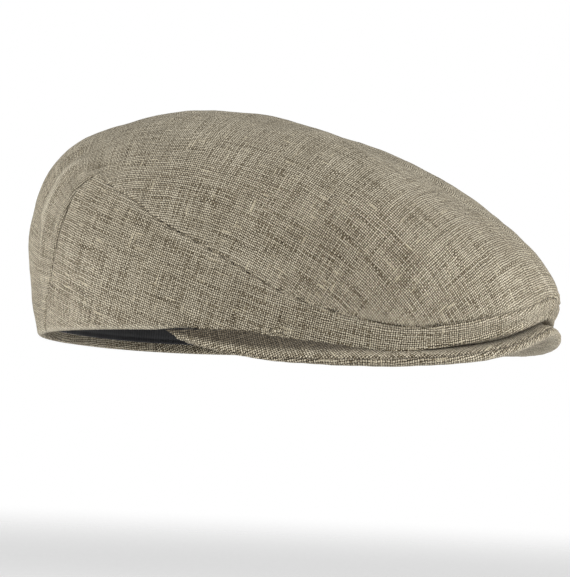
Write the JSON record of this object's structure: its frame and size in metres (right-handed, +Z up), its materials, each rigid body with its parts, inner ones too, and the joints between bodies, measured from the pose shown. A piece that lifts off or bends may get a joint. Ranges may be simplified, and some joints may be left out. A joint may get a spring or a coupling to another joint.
{
  "type": "newsboy cap",
  "caption": "Soft linen flat cap with a full rounded crown, wing-shaped side panels, a short covered visor, a black lining and a sweatband.",
  "frame": {"origin": "middle of the head opening, level with the hem at its sides and back", "axes": "+Z up towards the crown, -Y forwards along the visor, +X towards the wearer's left side"},
  "size_m": [0.173, 0.262, 0.1214],
  "materials": {
    "linen": "coarse plain-weave natural linen, matt",
    "visor_board": "matt moulded board, hidden inside the visor",
    "lining": "smooth black woven lining",
    "sweatband": "black ribbed tape"
  },
  "bodies": {
    "root": {"top_panel": "linen", "side_panel_right": "linen", "side_panel_left": "linen", "visor_top_cover": "linen", "visor_bottom_cover": "linen", "visor_board": "visor_board", "lining_top": "lining", "lining_side_right": "lining", "lining_side_left": "lining", "sweatband": "sweatband"}
  },
  "joints": []
}
